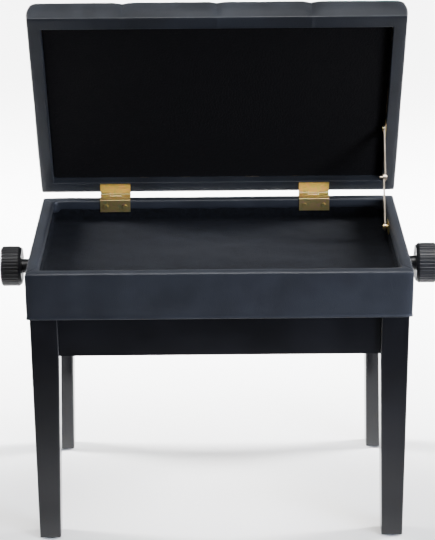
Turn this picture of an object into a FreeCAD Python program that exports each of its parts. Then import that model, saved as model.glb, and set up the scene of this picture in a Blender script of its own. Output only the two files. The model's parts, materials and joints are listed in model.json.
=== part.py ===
import FreeCAD, Part
import math
import os

# Piano bench with a padded lid over a shallow box, on a leg frame with a screw-driven scissor lift.
# Millimetres. +X to the sitter's right, +Y to the back, +Z up. The origin is on the floor, under the
# middle of the whole bench as it stands with its lid open. The seat is at its lowest.

Vector = FreeCAD.Vector

# Storage box
box_length = 560.0
box_depth = 330.0
box_height = 72.0
box_wall = 15.0
box_corner = 5.0
box_edge = 3.6
floor_thick = 5.0
floor_groove = 5.0
floor_drop = 36.0           # from the rim to the floor's upper face
leather = 1.2
turn_down = 13.0            # leather turned down inside the rim
lining = 0.8

# Leg frame
frame_top = 363.5
leg_size = 41.0
leg_foot = 32.0
leg_inset_x = 4.0           # leg's outer face, inside the box's side
leg_inset_y = 3.0           # and inside the box's front and rear
leg_round = 3.0
apron_height = 61.5
apron_thick = 16.0
apron_setback = 9.0
batten_width = 30.0
batten_height = 20.0
batten_gap = 6.5            # batten, from the corner brackets' flanges
glide_height = 3.0
glide_radius = 12.0
box_gap = 0.5               # box above the leg frame at the lowest setting

# Corner brackets
bracket_thick = 2.0
bracket_height = 40.0
bracket_low = 2.0           # above the apron's lower edge
bracket_stand_off = 18.0    # from the leg's inner corner
bracket_flange = 22.0
leg_bolt_radius = 3.5
leg_bolt_in = 28.0
leg_bolt_out = 13.0
nut_flats = 13.0
nut_height = 6.5

# Scissor lift
lift_range = 90.0
arm_span = 400.0            # between the end pivots
arm_width = 16.0
arm_thick = 3.0
arm_gap = 0.5               # between neighbouring arms, and from arm to rail
rail_thick = 2.5
rail_height = 24.0
rail_flange = 22.0
rail_past_pivot = 10.0      # rail's end, past the pivots at the lowest setting
rail_screw_near = 60.0
rail_screw_far = 170.0
rail_inset = 17.0           # rail's inner face, from the legs' inner faces
lift_start = 38.0           # height between upper and lower pivots at the lowest setting
lower_pivot_height = 346.0
shaft_radius = 5.0
rivet_radius = 4.0
rivet_head_radius = 6.5
rivet_head = 1.9
roller_radius = 7.0
roller_width = 4.0
running = 0.05              # radial clearance of a running fit
open_play = 0.65            # radial play of the pivots and slots that close the linkage

# Screw, knobs and bushes
screw_radius = 6.0
screw_pitch = 2.0
block_length = 22.0
block_width = 26.0
block_height = 18.0
collar_radius = 10.0
collar_length = 7.0
knob_radius = 30.5
knob_length = 31.0
knob_gap = 20.0             # from the box's side to the knob
knob_hub_radius = 11.0
knob_inner_bevel = 4.7
knob_outer_bevel = 2.6
knob_flutes = 36
flute_radius = 2.2
flute_depth = 0.8
knob_bolt_radius = 2.5
knob_bolt_length = 20.0
bush_radius = 9.0
bush_flange_radius = 13.0
bush_flange = 1.2
gap = 0.3                   # between bodies that move past each other

# Lid and seat
lid_side = 2.0              # lid's end, past the box's side
lid_nose = 8.0              # lid's front edge, past the box's front face
lid_thick = 50.0
lid_gap = 3.0               # closed lid above the rim
lid_back = 2.0              # lid's rear edge, inside the box's rear face
lid_open = 69.0             # degrees
frame_width = 20.0
frame_thick = 12.0
board_thick = 9.0
cushion_round = 12.0
lid_lining = 1.0
button_radius = 11.0
button_height = 3.6
button_sink = 12.0
button_play = 2.0
button_shank_radius = 1.5
button_pitch = 141.0

# Hinges
hinge_length = 48.0
hinge_centre = 158.5        # from the middle of the pair
hinge_shift = -5.5          # the pair's middle, off the box's middle
hinge_screw_pitch = 30.0
leaf_thick = 1.3
leaf_width = 17.5
leaf_drop = 19.0
barrel_radius = 2.8
hinge_pin_radius = 1.5
hinge_behind = 3.0          # pin's axis behind the box's rear face
hinge_above = 3.0           # pin's axis above the rim
knuckle_gap = 0.3

# Lid stay
stay_lid_reach = 120.0      # lid pivot, from the lid's rear edge
stay_lid_height = 5.5       # lid pivot, above the lid's underside
stay_box_reach = 116.0      # box pivot, from the box's rear face
stay_box_drop = 11.0        # box pivot, below the rim
stay_thick = 2.0
stay_width = 10.0
stay_end_radius = 6.0
stay_gap = 0.3
stay_side_gap = 0.2         # beside the arms
stay_pin_radius = 2.0
stay_head_radius = 4.0
stay_head = 1.6
stay_button = 5.0
stay_button_radius = 2.4
stay_plate = 1.5
stay_plate_length = 28.0
stay_plate_height = 11.0
stay_screw_pitch = 21.0

# Screws
screw_shank = 2.0
screw_head_radius = 3.6
screw_head = 1.4
screw_length = 11.0
countersink = 1.3
recess_width = 0.9
recess_reach = 2.1
recess_depth = 0.8

# Places worked out from the sizes above
box_low = frame_top + box_gap
rim = box_low + box_height
box_half_x = box_length / 2
box_half_y = box_depth / 2
wall_in_x = box_half_x - leather - box_wall
wall_in_y = box_half_y - leather - box_wall
skin_in_x = wall_in_x - leather
skin_in_y = wall_in_y - leather
floor_top = rim - floor_drop
floor_low = floor_top - floor_thick
leg_out_x = box_half_x - leg_inset_x
leg_out_y = box_half_y - leg_inset_y
leg_in_x = leg_out_x - leg_size
leg_in_y = leg_out_y - leg_size
rail_inner = leg_in_y - rail_inset
apron_low = frame_top - apron_height
apron_out_x = leg_out_x - apron_setback
apron_out_y = leg_out_y - apron_setback
apron_in_x = apron_out_x - apron_thick
apron_in_y = apron_out_y - apron_thick
bracket_reach = leg_in_x + leg_in_y - bracket_stand_off * math.sqrt(2)
batten_centre = bracket_reach - apron_in_y - bracket_flange - batten_gap - batten_width / 2

fixed_pivot_x = -arm_span / 2
rail_half_length = arm_span / 2 + rail_past_pivot
upper_pivot_height = lower_pivot_height + lift_start
angle_low = math.asin(lift_start / arm_span)
angle_high = math.asin((lift_start + lift_range) / arm_span)
slide_low_x = fixed_pivot_x + arm_span * math.cos(angle_low)
slide_high_x = fixed_pivot_x + arm_span * math.cos(angle_high)
outer_arm_y = rail_inner - arm_gap * 5 - arm_thick
inner_arm_y = outer_arm_y - arm_gap - arm_thick
rail_low = lower_pivot_height - rail_height / 2

lid_length = box_length + 2 * lid_side
lid_depth = box_depth - lid_back + lid_nose
lid_under = rim + lid_gap
lid_rear = box_half_y - lid_back
lid_front = lid_rear - lid_depth
lid_top = lid_under + lid_thick
lid_half_x = lid_length / 2
hinge_axis = Vector(0, box_half_y + hinge_behind, rim + hinge_above)

recess_half_x = lid_half_x - frame_width
recess_front = lid_front + frame_width
recess_rear = lid_rear - frame_width
board_low = lid_under + leather + frame_thick
board_top = board_low + board_thick

knob_in_x = box_half_x + knob_gap
knob_out_x = knob_in_x + knob_length
screw_end_x = knob_out_x - 8.0

stay_outer_x = recess_half_x - stay_plate - stay_side_gap
stay_inner_x = stay_outer_x - stay_thick - stay_gap


def block(x0, x1, y0, y1, z0, z1):
    return Part.makeBox(x1 - x0, y1 - y0, z1 - z0, Vector(x0, y0, z0))


def rod(start, direction, radius, length):
    return Part.makeCylinder(radius, length, start, direction)


def prism(points, direction):
    outline = Part.makePolygon(points + points[:1])
    return Part.Face(outline).extrude(direction)


def group(solids):
    return Part.makeCompound(solids)


def mirror_x(shape):
    return shape.mirror(Vector(0, 0, 0), Vector(1, 0, 0))


def mirror_y(shape):
    return shape.mirror(Vector(0, 0, 0), Vector(0, 1, 0))


def front_and_rear(rear):
    return [mirror_y(rear), rear]


def four_corners(shape):
    pair = [shape, mirror_x(shape)]
    return pair + [mirror_y(one) for one in pair]


def upright_edges(shape, shortest):
    found = []
    for edge in shape.Edges:
        box = edge.BoundBox
        if box.ZLength > shortest and box.XLength + box.YLength < 0.01:
            found.append(edge)
    return found


def level_edges(shape, height):
    found = []
    for edge in shape.Edges:
        box = edge.BoundBox
        if abs(box.ZMin - height) < 0.01 and abs(box.ZMax - height) < 0.01:
            found.append(edge)
    return found


def only(shape):
    return max(shape.Solids, key=lambda solid: solid.Volume)


def stadium(start, end, axis, radius, thick):
    """Flat bar with round ends between two pivots. The axis is the pivots' direction."""
    along = (end - start).normalize()
    across = axis.cross(along)
    corners = [start + across * radius, end + across * radius, end - across * radius, start - across * radius]
    bar = prism(corners, axis * thick)
    return bar.fuse([rod(start, axis, radius, thick), rod(end, axis, radius, thick)]).removeSplitter()


def cross_slots(top, direction):
    side = Vector(0, 0, 1) if abs(direction.z) < 0.5 else Vector(1, 0, 0)
    other = direction.cross(side)
    slots = []
    for along, across in ((side, other), (other, side)):
        a = along * recess_reach
        b = across * (recess_width / 2)
        slots.append(prism([top + a + b, top + a - b, top - a - b, top - a + b], direction * recess_depth))
    return slots


def pan_screw(seat, direction, length=screw_length):
    """Screw with a raised head. The seat is the point under its head."""
    top = seat - direction * screw_head
    head = rod(top, direction, screw_head_radius, screw_head)
    shank = rod(seat, direction, screw_shank, length)
    return head.fuse(shank).removeSplitter().cut(cross_slots(top, direction))


def flush_screw(face, direction, length=screw_length):
    """Countersunk screw. The face is the point on the plate's surface that its head is level with."""
    head = Part.makeCone(screw_head_radius, screw_shank, countersink, face, direction)
    shank = rod(face + direction * countersink, direction, screw_shank, length)
    return head.fuse(shank).removeSplitter().cut(cross_slots(face, direction))


# Leg frame

def leg_section(size, height):
    """Rounded square outline that keeps its outer corner at the leg's outer corner."""
    shape = block(leg_out_x - size, leg_out_x, leg_out_y - size, leg_out_y, height, height + 1)
    shape = shape.makeFillet(leg_round, upright_edges(shape, 0.9))
    for face in shape.Faces:
        if abs(face.BoundBox.ZMax - height) < 0.01:
            return face.OuterWire


def leg():
    post = Part.Face(leg_section(leg_size, apron_low)).extrude(Vector(0, 0, apron_height))
    outlines = [leg_section(leg_foot, glide_height), leg_section(leg_size, apron_low)]
    taper = Part.makeLoft(outlines, True, True)
    return only(post.fuse(taper).cut([leg_bolt(), glide()]))


def glide():
    centre_x = leg_out_x - leg_foot / 2
    centre_y = leg_out_y - leg_foot / 2
    pad = rod(Vector(centre_x, centre_y, 0), Vector(0, 0, 1), glide_radius, glide_height)
    nail = rod(Vector(centre_x, centre_y, glide_height), Vector(0, 0, 1), 2.0, 14.0)
    return pad.fuse(nail).removeSplitter()


def diagonal():
    return Vector(1, 1, 0).normalize()


def bracket_middle():
    """Point on the leg bolt's axis, on the bracket's inner face."""
    back = diagonal() * (bracket_stand_off + bracket_thick)
    return Vector(leg_in_x, leg_in_y, apron_low + bracket_low + bracket_height / 2) - back


def leg_bolt():
    start = bracket_middle() - diagonal() * leg_bolt_out
    length = leg_bolt_out + bracket_thick + bracket_stand_off + leg_bolt_in
    return rod(start, diagonal(), leg_bolt_radius, length)


def leg_nut():
    start = bracket_middle() - diagonal() * nut_height
    corner = nut_flats / math.sqrt(3)
    across = Vector(0, 0, 1).cross(diagonal())
    points = []
    for step in range(6):
        turn = math.radians(60 * step)
        upward = Vector(0, 0, corner * math.cos(turn))
        points.append(start + upward + across * (corner * math.sin(turn)))
    return prism(points, diagonal() * nut_height).cut(rod(start, diagonal(), leg_bolt_radius, nut_height))


def bracket_lines():
    """Where the bracket's outer face meets the two aprons."""
    return bracket_reach - apron_in_y, bracket_reach - apron_in_x


def corner_bracket():
    on_rear_x, on_side_y = bracket_lines()
    low = apron_low + bracket_low
    slip = bracket_thick * (math.sqrt(2) - 1)
    thick = bracket_thick
    points = [
        Vector(on_rear_x - bracket_flange, apron_in_y, low),
        Vector(on_rear_x, apron_in_y, low),
        Vector(apron_in_x, on_side_y, low),
        Vector(apron_in_x, on_side_y - bracket_flange, low),
        Vector(apron_in_x - thick, on_side_y - bracket_flange, low),
        Vector(apron_in_x - thick, on_side_y - slip, low),
        Vector(on_rear_x - slip, apron_in_y - thick, low),
        Vector(on_rear_x - bracket_flange, apron_in_y - thick, low),
    ]
    plate = prism(points, Vector(0, 0, bracket_height))
    hole = rod(bracket_middle() - diagonal(), diagonal(), leg_bolt_radius + 0.4, bracket_thick + 2.0)
    return only(plate.cut([hole] + bracket_screws()))


def bracket_screws():
    on_rear_x, on_side_y = bracket_lines()
    low = apron_low + bracket_low
    screws = []
    for part in (0.25, 0.75):
        height = low + bracket_height * part
        rear = Vector(on_rear_x - bracket_flange * 0.55, apron_in_y - bracket_thick, height)
        side = Vector(apron_in_x - bracket_thick, on_side_y - bracket_flange * 0.55, height)
        screws.append(pan_screw(rear, Vector(0, 1, 0)))
        screws.append(pan_screw(side, Vector(1, 0, 0)))
    return screws


def aprons():
    screws = []
    for screw in bracket_screws():
        screws += four_corners(screw)
    front = block(-leg_in_x, leg_in_x, -apron_out_y, -apron_in_y, apron_low, frame_top)
    right = block(apron_in_x, apron_out_x, -leg_in_y, leg_in_y, apron_low, frame_top)
    boards = {"apron_front": front, "apron_rear": mirror_y(front)}
    boards.update({"apron_right": right, "apron_left": mirror_x(right)})
    return {name: only(board.cut(screws)) for name, board in boards.items()}


def battens():
    top = rail_low
    low = top - batten_height
    half = batten_width / 2
    right = block(batten_centre - half, batten_centre + half, -apron_in_y, apron_in_y, low, top)
    boards = {"batten_right": right, "batten_left": mirror_x(right)}
    return {name: only(board.cut(lower_rail_screws())) for name, board in boards.items()}


def lower_rail_screws():
    y = rail_inner - rail_flange * 0.66
    screws = []
    for x in (-batten_centre, batten_centre):
        seat = Vector(x, y, rail_low + rail_thick)
        screws += front_and_rear(pan_screw(seat, Vector(0, 0, -1)))
    return screws


def rail_slot(height, radius, play):
    """Straight slot through both rails for something that slides along them."""
    low_x = slide_high_x - play
    high_x = slide_low_x + play
    reach = rail_inner + rail_thick + 1.0
    r = radius + play
    middle = block(low_x, high_x, rail_inner - 1.0, reach, height - r, height + r)
    starts = [Vector(x, rail_inner - 1.0, height) for x in (low_x, high_x)]
    ends = [rod(start, Vector(0, 1, 0), r, rail_thick + 2.0) for start in starts]
    return middle.fuse(ends).removeSplitter()


def rail_hole(height):
    start = Vector(fixed_pivot_x, rail_inner - 1.0, height)
    return rod(start, Vector(0, 1, 0), shaft_radius, rail_thick + 2.0)


def lower_rail():
    outer = rail_inner + rail_thick
    half = rail_half_length
    upright = block(-half, half, rail_inner, outer, rail_low, rail_low + rail_height)
    foot = block(-half, half, outer - rail_flange, outer, rail_low, rail_low + rail_thick)
    hole = rail_hole(lower_pivot_height)
    slot = rail_slot(lower_pivot_height, roller_radius, gap)
    return only(upright.fuse(foot).removeSplitter().cut([hole, slot] + lower_rail_screws()))


def cross_shaft(x, height, past_rail):
    half = rail_inner + rail_thick + past_rail
    return rod(Vector(x, -half, height), Vector(0, 1, 0), shaft_radius, 2 * half)


# Scissor arms

def pivot_hole(point, y, radius):
    return rod(Vector(point.x, y - 1.0, point.z), Vector(0, 1, 0), radius, arm_thick + 2.0)


def arm_ends(rising):
    left_height = lower_pivot_height if rising else upper_pivot_height
    right_height = upper_pivot_height if rising else lower_pivot_height
    return Vector(fixed_pivot_x, 0, left_height), Vector(slide_low_x, 0, right_height)


def scissor_arm(rising, y, left_radius, middle_radius, right_radius):
    left, right = arm_ends(rising)
    lift = Vector(0, y, 0)
    bar = stadium(left + lift, right + lift, Vector(0, 1, 0), arm_width / 2, arm_thick)
    middle = (left + right) * 0.5
    holes = [
        pivot_hole(left, y, left_radius),
        pivot_hole(middle, y, middle_radius),
        pivot_hole(right, y, right_radius),
    ]
    return only(bar.cut(holes))


def centre_rivet():
    left, right = arm_ends(True)
    middle = (left + right) * 0.5
    inside = inner_arm_y - gap - 2.0
    outside = outer_arm_y + arm_thick
    along = Vector(0, 1, 0)
    shank = rod(Vector(middle.x, inside, middle.z), along, rivet_radius, outside - inside)
    seats = [Vector(middle.x, y, middle.z) for y in (inside + 0.1, outside)]
    heads = [rod(seat, along, rivet_head_radius, rivet_head) for seat in seats]
    return shank.fuse(heads).removeSplitter()


def roller():
    y = rail_inner + rail_thick / 2 - roller_width / 2
    start = Vector(slide_low_x, y, lower_pivot_height)
    wheel = rod(start, Vector(0, 1, 0), roller_radius, roller_width)
    return wheel.cut(rod(start, Vector(0, 1, 0), shaft_radius, roller_width))


def screw_block(x, past_rail, bore):
    """Round cross bar with a square block in the middle, bored for the lift screw."""
    bar = cross_shaft(x, upper_pivot_height, past_rail)
    half = block_length / 2
    z = upper_pivot_height
    side = block_width / 2
    middle = block(x - half, x + half, -side, side, z - block_height / 2, z + block_height / 2)
    hole = rod(Vector(x - half - 1, 0, z), Vector(1, 0, 0), bore, block_length + 2)
    return only(bar.fuse(middle).removeSplitter().cut(hole))


# Lift screw and knobs

def knob_bolt():
    direction = Vector(-1, 0, 0)
    seat = Vector(knob_out_x, 0, upper_pivot_height)
    shank = rod(seat, direction, knob_bolt_radius, knob_bolt_length)
    head = rod(seat - direction * 2.6, direction, knob_bolt_radius * 1.9, 2.6)
    outer = [edge for edge in head.Edges if abs(edge.BoundBox.XMin - knob_out_x - 2.6) < 0.01]
    head = head.makeFillet(1.6, outer)
    corner = 1.7
    points = []
    for step in range(6):
        turn = math.radians(60 * step)
        across = Vector(0, corner * math.cos(turn), corner * math.sin(turn))
        points.append(seat - direction * 2.7 + across)
    return head.fuse(shank).removeSplitter().cut(prism(points, direction * 1.6))


def lift_screw():
    start = Vector(-screw_end_x, 0, upper_pivot_height)
    bar = rod(start, Vector(1, 0, 0), screw_radius, 2 * screw_end_x)
    return only(bar.cut([knob_bolt(), mirror_x(knob_bolt())]))


def knob():
    z = upper_pivot_height
    inner = box_half_x + bush_flange + gap
    rise = 2.0
    points = [
        (inner, 0),
        (inner, knob_hub_radius),
        (knob_in_x, knob_hub_radius),
        (knob_in_x, knob_radius - rise - 1.5),
        (knob_in_x + knob_inner_bevel, knob_radius),
        (knob_out_x - knob_outer_bevel, knob_radius),
        (knob_out_x, knob_radius - rise),
        (knob_out_x, 0),
    ]
    outline = [Vector(x, r, z) for x, r in points]
    body = Part.Face(Part.makePolygon(outline + outline[:1])).revolve(Vector(0, 0, z), Vector(1, 0, 0), 360)
    cutters = []
    centre = knob_radius - flute_depth + flute_radius
    for step in range(knob_flutes):
        turn = 2 * math.pi * step / knob_flutes
        start = Vector(knob_in_x - 1, centre * math.cos(turn), z + centre * math.sin(turn))
        cutters.append(rod(start, Vector(1, 0, 0), flute_radius, knob_length + 2))
    cutters.append(rod(Vector(inner - 1, 0, z), Vector(1, 0, 0), screw_radius, screw_end_x - inner + 1))
    cutters.append(knob_bolt())
    return only(body.cut(cutters))


def thrust_collar(side):
    half = block_length / 2 + gap
    x = fixed_pivot_x + half if side > 0 else fixed_pivot_x - half - collar_length
    start = Vector(x, 0, upper_pivot_height)
    return rod(start, Vector(1, 0, 0), collar_radius, collar_length).cut(
        rod(start, Vector(1, 0, 0), screw_radius, collar_length)
    )


def shaft_bush():
    start = Vector(wall_in_x, 0, upper_pivot_height)
    length = box_half_x + bush_flange - wall_in_x
    body = rod(start, Vector(1, 0, 0), bush_radius, length)
    flange = rod(Vector(box_half_x, 0, upper_pivot_height), Vector(1, 0, 0), bush_flange_radius, bush_flange)
    bore = rod(start, Vector(1, 0, 0), screw_radius + running, length)
    return only(body.fuse(flange).removeSplitter().cut(bore))


# Storage box

def box_ring(half_x, half_y, wall, low, high, corner, edge):
    outer = block(-half_x, half_x, -half_y, half_y, low, high)
    outer = outer.makeFillet(corner, upright_edges(outer, 1.0))
    inner = block(-half_x + wall, half_x - wall, -half_y + wall, half_y - wall, low - 1, high + 1)
    ring = outer.cut(inner)
    return ring.makeFillet(edge, level_edges(ring, high))


def wall_ring():
    return box_ring(
        box_half_x - leather,
        box_half_y - leather,
        box_wall,
        box_low + leather,
        rim - leather,
        box_corner - leather,
        box_edge - leather,
    )


def box_floor():
    x = wall_in_x + floor_groove
    y = wall_in_y + floor_groove
    return block(-x, x, -y, y, floor_low, floor_top)


def bush_holes():
    reach = box_half_x + 5
    return rod(Vector(-reach, 0, upper_pivot_height), Vector(1, 0, 0), bush_radius, 2 * reach)


def box_walls(screws):
    ring = wall_ring().cut([box_floor(), bush_holes()] + screws)
    far = box_length
    front_slab = block(-far, far, -far, -wall_in_y, 0, 2 * rim)
    side_slab = block(0, far, -wall_in_y, wall_in_y, 0, 2 * rim)
    slabs = {
        "box_wall_front": front_slab,
        "box_wall_rear": mirror_y(front_slab),
        "box_wall_right": side_slab,
        "box_wall_left": mirror_x(side_slab),
    }
    return {name: only(ring.common(slab)) for name, slab in slabs.items()}


def box_cover(screws):
    skin = box_ring(box_half_x, box_half_y, leather * 2 + box_wall, box_low, rim, box_corner, box_edge)
    inside = block(-wall_in_x, wall_in_x, -wall_in_y, wall_in_y, box_low - 1, rim - turn_down)
    return only(skin.cut([wall_ring(), inside, bush_holes()] + screws))


def box_lining(screws):
    outer = block(-wall_in_x, wall_in_x, -wall_in_y, wall_in_y, floor_top, rim - turn_down)
    x = wall_in_x - lining
    y = wall_in_y - lining
    inner = block(-x, x, -y, y, floor_top + lining, rim)
    return only(outer.cut([inner] + screws))


def upper_rail_screws():
    y = rail_inner + rail_flange * 0.55
    screws = []
    for x in (-rail_screw_far, -rail_screw_near, rail_screw_near, rail_screw_far):
        seat = Vector(x, y, floor_low - rail_thick)
        screws += front_and_rear(pan_screw(seat, Vector(0, 0, 1), rail_thick + floor_thick - 0.5))
    return screws


def upper_rail():
    outer = rail_inner + rail_thick
    half = rail_half_length
    low = upper_pivot_height - rail_height / 2
    upright = block(-half, half, rail_inner, outer, low, floor_low)
    flange = block(-half, half, rail_inner, rail_inner + rail_flange, floor_low - rail_thick, floor_low)
    hole = rail_hole(upper_pivot_height)
    slot = rail_slot(upper_pivot_height, shaft_radius, open_play)
    return only(upright.fuse(flange).removeSplitter().cut([hole, slot] + upper_rail_screws()))


# Hinges

def knuckle(centre_x, first, last, bore):
    start = Vector(centre_x + first, hinge_axis.y, hinge_axis.z)
    tube = rod(start, Vector(1, 0, 0), barrel_radius, last - first)
    return tube, rod(start - Vector(1, 0, 0), Vector(1, 0, 0), bore, last - first + 2)


def knuckle_spans():
    half = hinge_length / 2
    third = hinge_length / 6
    ends = [(-half, -third - knuckle_gap), (third + knuckle_gap, half)]
    return ends, [(-third, third)]


def hinge_places():
    return (hinge_shift - hinge_centre, hinge_shift + hinge_centre)


def hinge_screw_places(centre_x):
    return (centre_x - hinge_screw_pitch / 2, centre_x + hinge_screw_pitch / 2)


def hinge_box_screws(centre_x):
    height = rim - leaf_drop * 0.55
    seats = [Vector(x, skin_in_y - leaf_thick, height) for x in hinge_screw_places(centre_x)]
    return [pan_screw(seat, Vector(0, 1, 0)) for seat in seats]


def hinge_box_leaf(centre_x):
    half = hinge_length / 2
    inner = skin_in_y - leaf_thick
    tab = block(centre_x - half, centre_x + half, inner, skin_in_y, rim - leaf_drop, rim + leaf_thick)
    plate = block(centre_x - half, centre_x + half, inner, box_half_y - 0.5, rim, rim + leaf_thick)
    shape = tab.fuse(plate).removeSplitter()
    bend = [edge for edge in level_edges(shape, rim + leaf_thick) if edge.BoundBox.YMax < inner + 0.01]
    shape = shape.makeFillet(leaf_thick * 0.9, bend)
    bores = []
    for first, last in knuckle_spans()[0]:
        tube, bore = knuckle(centre_x, first, last, hinge_pin_radius)
        neck = block(centre_x + first, centre_x + last, box_half_y - 0.5, hinge_axis.y, rim, rim + leaf_thick)
        shape = shape.fuse([tube, neck])
        bores.append(bore)
    return only(shape.removeSplitter().cut(bores + hinge_box_screws(centre_x)))


def hinge_lid_screws(centre_x):
    y = lid_rear - leaf_width * 0.5
    seats = [Vector(x, y, lid_under - leaf_thick) for x in hinge_screw_places(centre_x)]
    return [flush_screw(seat, Vector(0, 0, 1)) for seat in seats]


def hinge_lid_leaf(centre_x):
    half = hinge_length / 2
    low = lid_under - leaf_thick
    shape = block(centre_x - half, centre_x + half, lid_rear - leaf_width, lid_rear + 0.5, low, lid_under)
    bores = []
    for first, last in knuckle_spans()[1]:
        tube, bore = knuckle(centre_x, first, last, hinge_pin_radius + running)
        neck = block(centre_x + first, centre_x + last, lid_rear + 0.5, hinge_axis.y, low, lid_under)
        shape = shape.fuse([tube, neck])
        bores.append(bore)
    return only(shape.removeSplitter().cut(bores + hinge_lid_screws(centre_x)))


def hinge_pin(centre_x):
    start = Vector(centre_x - hinge_length / 2, hinge_axis.y, hinge_axis.z)
    return rod(start, Vector(1, 0, 0), hinge_pin_radius, hinge_length)


# Lid, modelled closed

def opened(shape):
    turned = shape.copy()
    turned.rotate(hinge_axis, Vector(1, 0, 0), -lid_open)
    return turned


def cushion_body(inset, low, top):
    body = block(-lid_half_x + inset, lid_half_x - inset, lid_front + inset, lid_rear - inset, low, top)
    body = body.makeFillet(cushion_round - inset, upright_edges(body, 1.0))
    return body.makeFillet(cushion_round - inset - 0.5, level_edges(body, top))


def button_places():
    middle = (lid_front + lid_rear) / 2
    return [Vector(x, middle, lid_top - button_sink) for x in (-button_pitch, 0, button_pitch)]


def tuft_button(place):
    cap = rod(place, Vector(0, 0, 1), button_radius, button_height)
    cap = cap.makeFillet(button_height * 0.8, level_edges(cap, place.z + button_height))
    foot = Vector(place.x, place.y, board_low)
    shank = rod(foot, Vector(0, 0, 1), button_shank_radius, place.z - board_low)
    return cap.fuse(shank).removeSplitter()


def button_pockets(radius, low):
    return [rod(Vector(p.x, p.y, low), Vector(0, 0, 1), radius, lid_thick) for p in button_places()]


def recess(grow):
    return block(
        -recess_half_x - grow,
        recess_half_x + grow,
        recess_front - grow,
        recess_rear + grow,
        lid_under - 5,
        board_low,
    )


def lid_core():
    core = cushion_body(leather, lid_under + leather, lid_top - leather)
    sink = lid_top - button_sink - leather
    return core.cut([recess(leather)] + button_pockets(button_radius + button_play + leather, sink))


def between(shape, low, high):
    far = lid_length
    return shape.common(block(-far, far, -far, far, low, high))


def lid_pieces(screws, buttons):
    core = lid_core()
    battens = between(core, lid_under, board_low).cut(screws)
    far = lid_length
    inner_front = recess_front - leather
    inner_rear = recess_rear + leather
    bands = [(-far, inner_front), (inner_front, inner_rear), (inner_rear, far)]
    frame = []
    for low, high in bands:
        frame += battens.common(block(-far, far, low, high, 0, 2 * rim)).Solids
    skin = cushion_body(0, lid_under, lid_top)
    top_pockets = button_pockets(button_radius + button_play, lid_top - button_sink)
    lining_low = board_low - lid_lining
    sheet = block(-recess_half_x, recess_half_x, recess_front, recess_rear, lining_low, board_low)
    return {
        "lid_frame": group(frame),
        "lid_board": only(between(core, board_low, board_top).cut(buttons)),
        "seat_foam": only(between(core, board_top, lid_top).cut(buttons)),
        "seat_cover": only(skin.cut([core, recess(0)] + top_pockets + screws + buttons)),
        "lid_lining": only(sheet),
    }


# Lid stay: a folding link from the right wall of the box to the right side of the lid's frame

def turned_about_hinge(point, degrees):
    turn = FreeCAD.Rotation(Vector(1, 0, 0), degrees)
    return turn.multVec(point - hinge_axis) + hinge_axis


stay_lid_pivot = Vector(0, lid_rear - stay_lid_reach, lid_under + stay_lid_height)
stay_lid_pivot_open = turned_about_hinge(stay_lid_pivot, -lid_open)
stay_box_pivot = Vector(0, box_half_y - stay_box_reach, rim - stay_box_drop)
stay_arm = (stay_lid_pivot_open - stay_box_pivot).Length / 2


def stay_elbow(lid_point):
    """The elbow for a given lid pivot. It folds towards the front."""
    middle = (lid_point + stay_box_pivot) * 0.5
    line = lid_point - stay_box_pivot
    reach = math.sqrt(max(stay_arm**2 - (line.Length / 2) ** 2, 0.0))
    forward = Vector(0, -line.z, line.y).normalize()
    return middle + forward * reach


def at_x(point, x):
    return Vector(x, point.y, point.z)


def stay_lower_arm():
    along = Vector(1, 0, 0)
    elbow = at_x((stay_lid_pivot_open + stay_box_pivot) * 0.5, stay_inner_x - stay_thick)
    foot = at_x(stay_box_pivot, stay_inner_x - stay_thick)
    bar = stadium(foot, elbow, along, stay_width / 2, stay_thick)
    eyes = [rod(point, along, stay_end_radius, stay_thick) for point in (foot, elbow)]
    button = rod(elbow - along * stay_button, along, stay_button_radius, stay_button)
    bar = bar.fuse(eyes + [button]).removeSplitter()
    return only(bar.cut(rod(foot - along, along, stay_pin_radius + running, stay_thick + 2)))


def stay_upper_arm():
    along = Vector(1, 0, 0)
    elbow = at_x((stay_lid_pivot_open + stay_box_pivot) * 0.5, stay_outer_x - stay_thick)
    top = at_x(stay_lid_pivot_open, stay_outer_x - stay_thick)
    bar = stadium(elbow, top, along, stay_width / 2, stay_thick)
    eyes = [rod(point, along, stay_end_radius, stay_thick) for point in (top, elbow)]
    head = rod(elbow + along * stay_thick, along, stay_head_radius, stay_head)
    bar = bar.fuse(eyes + [head]).removeSplitter()
    return only(bar.cut(rod(top - along, along, stay_pin_radius + running, stay_thick + 2)))


def stay_plate_at(pivot, wall_x, low, high):
    half = stay_plate_length / 2
    return block(wall_x - stay_plate, wall_x, pivot.y - half, pivot.y + half, low, high)


def stay_screws(pivot, wall_x, height):
    half = stay_screw_pitch / 2
    seats = [Vector(wall_x - stay_plate, pivot.y + y, height) for y in (-half, half)]
    return [flush_screw(seat, Vector(1, 0, 0)) for seat in seats]


def stay_pin(pivot, wall_x, inner_x):
    """Stepped pin: a boss out to the arm, the pivot through it and a riveted head."""
    along = Vector(1, 0, 0)
    arm_outer = inner_x + stay_thick
    head_x = inner_x - gap - stay_head
    pieces = [rod(at_x(pivot, head_x), along, stay_head_radius, stay_head)]
    pieces.append(rod(at_x(pivot, head_x), along, stay_pin_radius, wall_x - stay_plate - head_x))
    boss = wall_x - stay_plate - arm_outer - stay_side_gap
    if boss > 0.1:
        pieces.append(rod(at_x(pivot, arm_outer + stay_side_gap), along, stay_head_radius, boss))
    return pieces


def stay_box_screws():
    return stay_screws(stay_box_pivot, skin_in_x, stay_box_pivot.z + 1.0)


def stay_box_bracket():
    half = stay_plate_height / 2 + 1.5
    plate = stay_plate_at(stay_box_pivot, skin_in_x, stay_box_pivot.z - half - 1, stay_box_pivot.z + half)
    pin = stay_pin(stay_box_pivot, skin_in_x, stay_inner_x - stay_thick)
    return only(plate.fuse(pin).removeSplitter().cut(stay_box_screws()))


def stay_lid_screws():
    return stay_screws(stay_lid_pivot, recess_half_x, stay_lid_pivot.z)


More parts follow.
